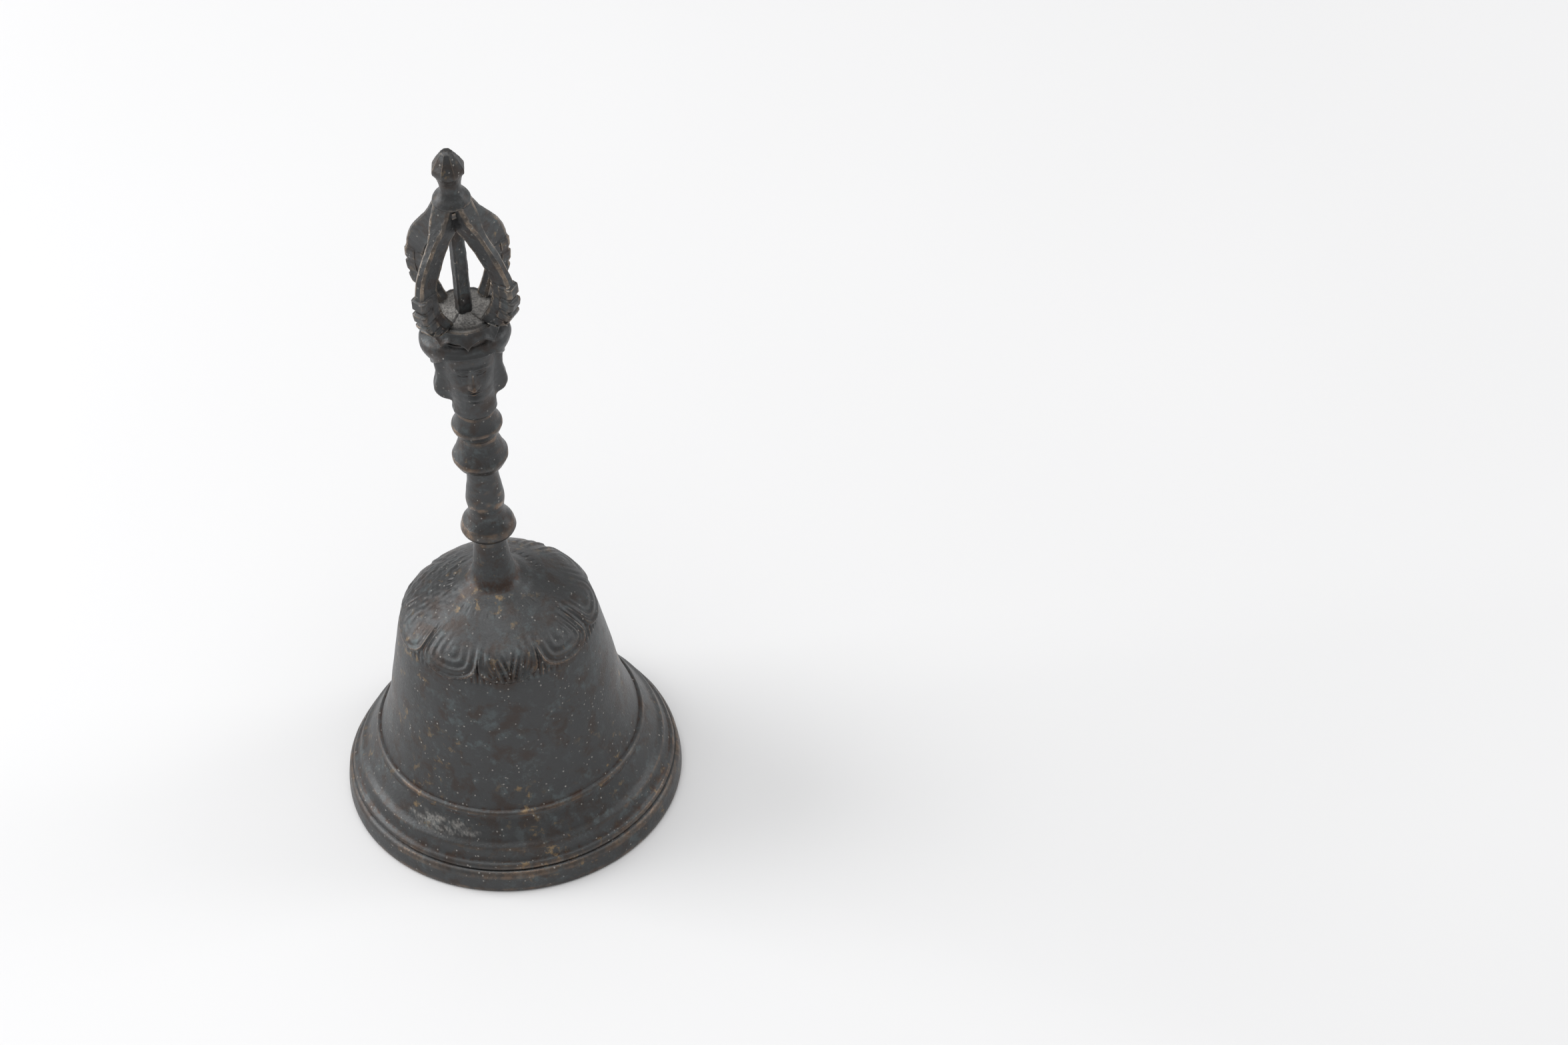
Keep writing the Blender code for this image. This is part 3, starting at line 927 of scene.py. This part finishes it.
    def cap_place(self, angle: Array, share: Array) -> Array:
        """Place the cap's skin; arguments and result are as for the head."""
        azimuth = angle
        low = self.hem(azimuth)
        height = low + share * (self.cap_top - low)
        front = np.cos(azimuth)
        depth = np.where(front > 0.0, self.cap_front, self.cap_back)
        squeeze = 1.0 / np.sqrt(np.sin(azimuth) ** 2 + (front / depth) ** 2)
        radius = profile(self.cap_sides, height) * squeeze
        radius = np.maximum(radius, 7.1)
        roll = 0.42 * bump(height - low, 0.75, 0.6) - 0.30 * bump(height - low, 0.0, 0.3)
        folds = 0.10 * np.cos(azimuth * 9.0) * bump(height, 141.0, 3.0) * (front < 0.4)
        points = polar(azimuth + self.turn, radius + roll + folds, height)
        points[:, 0] -= self.cap_lean
        return points

    def build(self) -> list[Piece]:
        """Shape the head and the cap."""
        made = []
        for name, node, around, tall, place in (
                ("mask_head_casting", "mask_head", 256, 190, self.place),
                ("head_cap", "headdress", 192, 84, self.cap_place)):
            piece = loft(name, tall, around, place)
            roughen(piece, (0.04, 5.0, 51), (0.02, 1.8, 52))
            made.append(dress(piece, self.finish.make(), Body.BELL, Slot.HANDLE, node,
                              rounds=14, proud=0.16, sharp=60.0))
        return made


# --- the vajra


@dataclass
class VajraCage:
    """The lotus plate, four ribbed prongs, the square centre prong and the bud finial."""

    finish: Patina
    azimuths: dict[str, float] = field(default_factory=lambda: {
        "front_left": -40.0, "front_right": 56.0, "back_right": 134.0, "back_left": -128.0})
    fullness: dict[str, float] = field(default_factory=lambda: {
        "front_left": 0.75, "front_right": -0.5, "back_right": 0.55, "back_left": 0.55})
    outer: Table = (
        (10.2, 152.3), (12.4, 153.9), (14.0, 156.9), (14.6, 160.6), (14.3, 164.6), (13.2, 168.6),
        (10.9, 173.0), (7.3, 178.4), (3.7, 185.4))
    inner: Table = (
        (5.4, 152.2), (6.6, 154.4), (8.1, 157.6), (9.0, 161.1), (9.0, 164.3), (8.1, 167.2),
        (5.6, 171.4), (2.6, 176.0), (0.9, 185.4))
    around: int = 56
    lengthwise: int = 280
    bevel: float = 0.46
    post_foot: float = 151.2
    post_height: float = 32.6
    bud_foot: float = 184.0
    bud_height: float = 15.3
    bud_radii: Table = (
        (184.0, 3.1), (184.35, 3.8), (185.1, 4.35), (186.0, 4.05), (187.2, 3.1), (188.2, 2.55),
        (189.6, 2.5), (191.4, 2.8), (192.6, 3.25), (193.5, 3.7), (194.4, 3.75), (195.9, 3.1),
        (197.3, 2.3), (198.4, 1.6), (199.05, 1.05), (199.3, 0.5))
    rib_top: float = 0.515
    rib_pitch: float = 0.125
    rib_depth: float = 0.78
    plate_core: Sections = (
        ((0.0, 147.05), (7.1, 147.05)), ((7.1, 147.05), (7.35, 149.5), (7.7, 150.6)),
        ((7.7, 150.6), (7.75, 151.2), (7.3, 151.6), (6.6, 151.7)),
        ((6.6, 151.7), (5.0, 151.35), (3.2, 151.5), (2.0, 151.9), (0.0, 152.0)))
    plate_skirt: Sections = (
        ((7.0, 147.3), (8.85, 147.15)),
        ((8.85, 147.15), (9.05, 147.7), (8.75, 148.6), (8.3, 149.6), (7.95, 150.7)),
        ((7.95, 150.7), (7.85, 151.15), (7.4, 151.3)), ((7.4, 151.3), (7.0, 149.4), (7.0, 147.3)))
    plate_petals: int = 9
    plate_turn: float = math.radians(3.0)

    def ribs(self, along: Array) -> Array:
        """Scale pattern of a prong's lower outside: a lip, a groove and a swell, repeated.

        Args:
            along: 0 at the foot and 1 at the tip.

        Returns:
            Values between -1 and 1, 0 above the ribs.
        """
        below = (self.rib_top - along) / self.rib_pitch
        phase = below - np.floor(below)
        band = ease(phase, 0.0, 0.16) * (1.0 - ease(phase, 0.64, 0.86))
        return (band * (1.1 - 0.35 * phase) - 0.5) * ease(below, 0.0, 0.05)

    def section(self) -> Array:
        """Coefficients of a prong's section, one row for each vertex round it.

        Returns:
            Columns: outer depth, split depth, bevel in depth, outer width, inner width, bevel in
            width; the second half mirrors the first across the prong's plane.
        """
        corners = np.array([
            (1, 0, 0, 0, 0, 0), (1, 0, 0, 1, 0, 1), (1, 0, 1, 1, 0, 0), (0, 1, 0, 1, 0, 0),
            (0, 1, 0.4, 0, 1, 0), (-1, 0, -1, 0, 1, 0), (-1, 0, 0, 0, 1, 1), (-1, 0, 0, 0, 0, 0)],
            float)
        counts = (5, 2, 7, 2, 6, 2, 4)
        rows = []
        for start, end, count in zip(corners, corners[1:], counts):
            rows += [start + (end - start) * index / count for index in range(count)]
        half = np.array(rows + [corners[-1]])
        other = half[1:-1][::-1].copy()
        other[:, 3:] *= -1.0
        return np.vstack((half, other))

    def prong(self, key: str, azimuth: float) -> Piece:
        """Shape one prong of the cage.

        Args:
            key: Which corner it stands at.
            azimuth: Degrees from the front towards +X.

        Returns:
            The dressed prong.
        """
        section = self.section()
        knots = np.linspace(0.0, 1.0, len(self.outer))
        lanes = [list(zip(knots, [point[axis] for point in side]))
                 for side in (self.outer, self.inner) for axis in (0, 1)]
        turn = math.radians(azimuth)
        away = np.array([math.sin(turn), -math.cos(turn), 0.0])
        across = np.array([math.cos(turn), math.sin(turn), 0.0])
        seed = 60 + int(abs(azimuth))
        strength, spread, arch = (1.0, 0.62, 1.0) if key.startswith("front") else (0.5, 0.3, 0.0)

        def place(angle: Array, share: Array) -> Array:
            """Put a blank's wall on the prong."""
            index = np.round((angle + math.pi) / math.tau * self.around).astype(int)
            row = section[index % self.around]
            out_r, out_z, in_r, in_z = (profile(lane, share) for lane in lanes)
            out_r = out_r + self.fullness[key] * bump(share, 0.72, 0.17)
            vault = arch * ease(share, 0.84, 0.935)
            in_r = in_r * (1.0 - vault) + 0.8 * vault
            reach_r, reach_z = out_r - in_r, out_z - in_z
            depth = np.hypot(reach_r, reach_z)
            below = 1.0 - ease(share, self.rib_top - 0.006, self.rib_top + 0.010)
            tip = ease(share, 0.86, 1.0)
            rib = self.ribs(share) * strength
            wide = 1.22 + spread * below + 0.30 * tip + 0.95 * vault + 0.26 * rib * below
            foot = 1.0 - ease(share, 0.0, 0.22)
            narrow = 1.22 + 0.55 * spread * below + 0.25 * tip + 0.95 * vault + 0.2 * foot
            split = -0.02 * below * depth / 2.0
            shift = (row[:, 0] * depth / 2.0 + row[:, 1] * split - row[:, 2] * self.bevel
                     + self.rib_depth * rib * below * np.clip(row[:, 0], 0.0, 1.0))
            breadth = row[:, 3] * wide + row[:, 4] * narrow - row[:, 5] * self.bevel
            radius = (out_r + in_r) / 2.0 + shift * reach_r / depth
            height = (out_z + in_z) / 2.0 + shift * reach_z / depth
            points = radius[:, None] * away + breadth[:, None] * across
            points[:, 2] = height
            return points

        piece = loft(f"cage_prong_{key}", self.lengthwise, self.around, place)
        roughen(piece, (0.05, 6.0, seed), (0.02, 1.6, seed + 1))
        return dress(piece, self.finish.make(), Body.BELL, Slot.VAJRA, f"vajra_prong_{key}",
                     rounds=9, proud=0.085, sharp=44.0)

    def centre(self) -> Piece:
        """Shape the square centre prong with its worn corners."""
        turn = math.radians(23.0)

        def place(angle: Array, share: Array) -> Array:
            """Put the blank's wall on a tapering, chamfered square."""
            half = 1.66 - 0.16 * share + 2.0 * ease(share, 0.885, 0.955)
            flat = half / np.cos((angle + math.pi / 4.0) % (math.pi / 2.0) - math.pi / 4.0)
            corner = (half * math.sqrt(2.0) - 0.34) / np.cos(angle % (math.pi / 2.0)
                                                             - math.pi / 4.0)
            radius = np.minimum(flat, corner)
            lean = 0.25 * np.sin(share * math.pi)
            points = polar(angle + turn, radius, self.post_foot + share * self.post_height)
            points[:, 0] += lean * 0.4
            return points

        piece = loft("centre_prong_bar", 90, 96, place)
        roughen(piece, (0.05, 5.0, 71), (0.025, 1.5, 72))
        return dress(piece, self.finish.make(), Body.BELL, Slot.VAJRA, "centre_prong",
                     rounds=5, proud=0.07, sharp=30.0)

    def plate(self) -> Piece:
        """Turn the plate's core, hang its lotus petals round it and lay its sandy floor."""
        core = turn("lotus_plate", flowing(self.plate_core, 0.22), 192, Turned.POLES)
        points = points_of(core)
        radius = radius_of(points)
        azimuth = azimuth_of(points)
        floor = ease(points[:, 2], 150.9, 151.3) * (1.0 - ease(radius, 5.8, 7.0))
        grit = floor * (0.06 * waves(points, 1.1, 81) + 0.04 * waves(points, 0.5, 82))
        gap = bump(np.abs(np.degrees(azimuth) - 8.0), 44.0, 5.0) * floor
        points[:, 2] += grit - 0.35 * gap * ease(radius, 1.6, 2.6)
        move_points(core, points)
        front = bump(np.degrees(azimuth), 8.0, 40.0)
        rim = ease(points[:, 2], 150.9, 151.3)
        sand = floor * (0.8 - 0.5 * front) + 0.2 * rim * front
        store(core, "sand", np.clip(sand * (1.0 - 0.7 * gap), 0.0, 1.0))
        skirt = turn("lotus_skirt", flowing(self.plate_skirt, 0.16), 240)
        points = points_of(skirt)
        radius = radius_of(points)
        azimuth = azimuth_of(points) - self.plate_turn
        share = azimuth / (math.tau / self.plate_petals)
        side = 2.0 * np.abs(share - np.round(share))
        edge = 2.3 * (1.0 - (1.0 - side) ** 1.6) ** 0.8
        drop = np.clip((151.3 - points[:, 2]) / 4.1, 0.0, 1.0)
        points[:, 2] += edge * drop**1.2
        outer = ease(radius, 7.5, 8.0)
        vein = 0.20 * bump(side, 0.0, 0.16) - 0.18 * bump(side, 1.0, 0.25) * drop
        curl = 0.30 * drop**2 * (1.0 - side)
        scale = 1.0 + (vein * outer + curl * outer) / np.maximum(radius, 1.0)
        points[:, :2] *= scale[:, None]
        move_points(skirt, points)
        store(skirt, "sand", np.zeros(len(points)))
        piece = join([core, skirt])
        return dress(piece, self.finish.make(), Body.BELL, Slot.VAJRA, "vajra_plate",
                     rounds=8, proud=0.09, sharp=40.0)

    def bud(self) -> Piece:
        """Shape the finial: a rolled collar, a waisted stem and a bud with eight facets."""
        def place(angle: Array, share: Array) -> Array:
            """Put the blank's wall on the finial."""
            height = self.bud_foot + share * self.bud_height
            facet = (angle + math.pi / 8.0) % (math.pi / 4.0) - math.pi / 8.0
            flat = math.cos(math.pi / 8.0) / np.cos(facet) * 1.035
            cut = ease(height, 192.8, 193.4)
            radius = profile(self.bud_radii, height) * (1.0 + cut * (flat - 1.0))
            return polar(angle, radius, height)

        piece = loft("bud_finial", 120, 96, place)
        roughen(piece, (0.04, 4.0, 91), (0.015, 1.3, 92),
                keep=lambda points: 1.0 - ease(points[:, 2], 198.6, 199.2))
        return dress(piece, self.finish.make(), Body.BELL, Slot.VAJRA, "finial",
                     rounds=5, proud=0.05, sharp=30.0)

    def build(self) -> list[Piece]:
        """Make every piece of the cage."""
        made = [self.plate(), self.centre(), self.bud()]
        return made + [self.prong(key, azimuth) for key, azimuth in self.azimuths.items()]


# --- the clapper gear


@dataclass
class ClapperGear:
    """Washer and eye nut under the crown, the hanging link, and the clapper's rod and ball."""

    finish: ForgedIron
    eye_z: float = 53.94
    link_top_z: float = 52.54
    link_bottom_z: float = 44.54
    loop_z: float = 43.94
    ball_z: float = 14.0
    ball_radius: float = 8.5
    nut_foot: float = 56.8
    nut_height: float = 3.4
    nut_flat: float = 4.0
    loop_radius: float = 2.6
    loop_wire: float = 0.9

    def ring(self, name: str, radius: float, wire: float, centre_z: float, flat_axis: int,
             straight: float = 0.0) -> Piece:
        """Bend a wire ring that stands upright.

        Args:
            name: The piece's name.
            radius: Radius to the wire's middle.
            wire: Wire radius.
            centre_z: Height of the ring's middle.
            flat_axis: 0 when the ring faces along X, 1 when it faces along Y.
            straight: Length of the straight sides of an oval ring.

        Returns:
            The ring.
        """
        circle = [(radius + wire * math.cos(math.tau * index / 20),
                   wire * math.sin(math.tau * index / 20)) for index in range(20)]
        piece = turn(name, circle, 72)
        flat = points_of(piece)
        points = np.empty_like(flat)
        points[:, flat_axis], points[:, 1 - flat_axis] = flat[:, 2], flat[:, 0]
        points[:, 2] = flat[:, 1] + np.clip(flat[:, 1] * 10.0, -0.5, 0.5) * straight + centre_z
        move_points(piece, points)
        close_up()
        return piece

    def washer(self) -> Piece:
        """Turn the hammered washer."""
        piece = turn("crown_seat_washer", flowing((
            ((1.8, 60.5), (5.5, 60.5)), ((5.5, 60.5), (5.9, 60.7), (6.0, 61.1), (5.9, 61.5),
                                         (5.5, 61.7)),
            ((5.5, 61.7), (1.8, 61.7)), ((1.8, 61.7), (1.8, 60.5))), 0.3)[:-1], 96)
        return self.finished(piece, Body.BELL, "crown_washer")

    def eye_nut(self) -> Piece:
        """Shape the six-sided nut and the eye under it."""
        def place(angle: Array, share: Array) -> Array:
            """Put the blank's wall on a chamfered hexagon."""
            facet = angle % (math.pi / 3.0) - math.pi / 6.0
            height = self.nut_foot + share * self.nut_height
            crown = 4.62 - 1.2 * np.clip(np.abs(share - 0.5) - 0.36, 0.0, 1.0)
            return polar(angle, np.minimum(self.nut_flat / np.cos(facet), crown), height)

        nut = loft("eye_nut_forging", 16, 96, place)
        eye = self.ring("eye", 3.4, 0.9, self.eye_z, 1)
        return self.finished(join([nut, eye]), Body.BELL, "eye_nut")

    def link(self) -> Piece:
        """Bend the oval hanging link."""
        middle = (self.link_top_z + self.link_bottom_z) / 2.0
        piece = self.ring("oval_link", 3.0, 0.8, middle, 0, 2.0)
        return self.finished(piece, Body.HANGER, "hanger_link")

    def clapper(self) -> list[Piece]:
        """Forge the clapper: a looped rod with a slightly waisted stem, and its ball."""
        top = self.loop_z - self.loop_radius + 0.5
        foot = self.ball_z + self.ball_radius * 0.55

        def place(angle: Array, share: Array) -> Array:
            """Put the blank's wall on the stem."""
            height = top + share * (foot - top)
            radius = 1.2 + 0.3 * share - 0.10 * np.sin(share * math.pi)
            return polar(-angle, radius, height)

        stem = loft("clapper_rod_forging", 60, 32, place)
        rod = join([stem, self.ring("loop", self.loop_radius, self.loop_wire, self.loop_z, 1)])
        low = math.radians(-90.0)
        high = math.asin(0.55)
        arc = [(self.ball_radius * math.cos(low + (high - low) * index / 60),
                self.ball_z + self.ball_radius * math.sin(low + (high - low) * index / 60))
               for index in range(61)]
        arc[0] = (0.0, arc[0][1])
        ball = turn("clapper_ball_forging", arc + [(3.2, foot - 0.1), (0.0, foot - 0.12)], 96,
                    Turned.POLES)
        points = points_of(ball)
        dents = 0.10 * waves(points, 5.5, 95) + 0.04 * waves(points, 2.0, 96) - 0.10
        upper = ease(points[:, 2], foot - 0.05, foot - 0.6)
        move_points(ball, points + normals_of(ball) * (dents * upper)[:, None])
        return [self.finished(rod, Body.CLAPPER, "clapper_rod"),
                self.finished(ball, Body.CLAPPER, "clapper_ball")]

    def finished(self, piece: Piece, body: Body, node: str) -> Piece:
        """Dress one iron piece."""
        return dress(piece, self.finish.make(), body, Slot.IRON, node,
                     rounds=10, proud=0.10, sharp=45.0)

    def build(self) -> list[Piece]:
        """Make every piece of the gear, from the crown down."""
        return [self.washer(), self.eye_nut(), self.link(), *self.clapper()]


# --- the studio


@dataclass
class Studio:
    """A pale floor, soft lights and the camera."""

    lens: float = 145.2
    sensor: float = 36.0
    place: tuple[float, float, float] = (0.0685, -1.0430, 1.1164)
    tilt: float = math.radians(45.11)
    roll: float = math.radians(-3.83)

    def floor(self) -> None:
        """Lay the pale floor."""
        take()
        bpy.ops.mesh.primitive_plane_add(size=6.0)
        sheet = bpy.context.object
        sheet.name = "studio_floor"
        bench = Bench("pale_paper")
        tone = bench.lay(bench.fade(bench.grain(3.0, 2.0), 0.3, 0.7), (0.78, 0.78, 0.785),
                         (0.80, 0.80, 0.805))
        bench.feed(bench.shader.inputs["Base Color"], tone)
        bench.shader.inputs["Roughness"].default_value = 0.9
        sheet.data.materials.append(bench.material)

    def lamp(self, name: str, place: Vector, size: Point, power: float) -> None:
        """Hang one soft box that faces the bell.

        Args:
            name: The light's name.
            place: Its place in metres.
            size: Width and height in metres.
            power: Watts.
        """
        light = bpy.data.lights.new(name, "AREA")
        light.shape = "RECTANGLE"
        light.size, light.size_y = size
        light.energy = power
        lamp = bpy.data.objects.new(name, light)
        aim = Vector((0.0, 0.0, 0.08)) - place
        lamp.matrix_world = Matrix.Translation(place) @ aim.to_track_quat("-Z", "Y").to_matrix() \
            .to_4x4()
        bpy.context.scene.collection.objects.link(lamp)

    def lights(self) -> None:
        """Set the even surround and the soft boxes."""
        world = bpy.data.worlds.new("studio_air")
        world.use_nodes = True
        back = world.node_tree.nodes["Background"]
        back.inputs["Color"].default_value = (1.0, 1.0, 1.0, 1.0)
        back.inputs["Strength"].default_value = 0.50
        bpy.context.scene.world = world
        self.lamp("key_left", Vector((-0.95, 0.20, 0.55)), (0.7, 0.9), 8.0)
        self.lamp("top_soft", Vector((-0.10, -0.05, 1.4)), (1.3, 1.0), 8.5)
        self.lamp("fill_right", Vector((0.95, 0.15, 0.55)), (0.35, 0.8), 2.4)

    def camera(self) -> None:
        """Stand the camera."""
        view = bpy.data.cameras.new("view")
        view.lens = self.lens
        view.sensor_width = self.sensor
        stand = bpy.data.objects.new("view", view)
        stand.matrix_world = (Matrix.Translation(Vector(self.place))
                              @ Matrix.Rotation(self.tilt, 4, "X")
                              @ Matrix.Rotation(self.roll, 4, "Z"))
        bpy.context.scene.collection.objects.link(stand)
        bpy.context.scene.camera = stand
        bpy.context.scene.view_settings.view_transform = "Standard"

    def build(self) -> None:
        """Set up the whole studio."""
        self.camera()
        self.floor()
        self.lights()


def main() -> None:
    """Build the bell round its frame."""
    logging.basicConfig(level=logging.INFO, format="%(name)s: %(message)s")
    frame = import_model()
    Studio().build()
    iron = ForgedIron("aged_iron_finish")
    rod = frame["nodes"]["tie_rod"]
    rod.data.materials.clear()
    rod.data.materials.append(iron.make())
    pieces = [BellCasting(Patina("cup_patina", shine=0.45)).build()]
    # The handle's higher shine and the cage's lighter, whiter edge colour brighten the worn
    # edges. This is painted highlight on top of real wear.
    pieces += HandleTurnings(Patina("handle_patina", shine=0.75, wear_low=0.42)).build()
    pieces += MaskHead(Patina("mask_patina")).build()
    pieces += VajraCage(Patina("cage_patina", edge_copper_and_highlight=(0.29, 0.23, 0.175), shine=0.8,
                               wear_low=0.38)).build()
    pieces += ClapperGear(iron).build()
    LOG.info("%d pieces built", len(pieces))


if __name__ == "__main__":
    main()
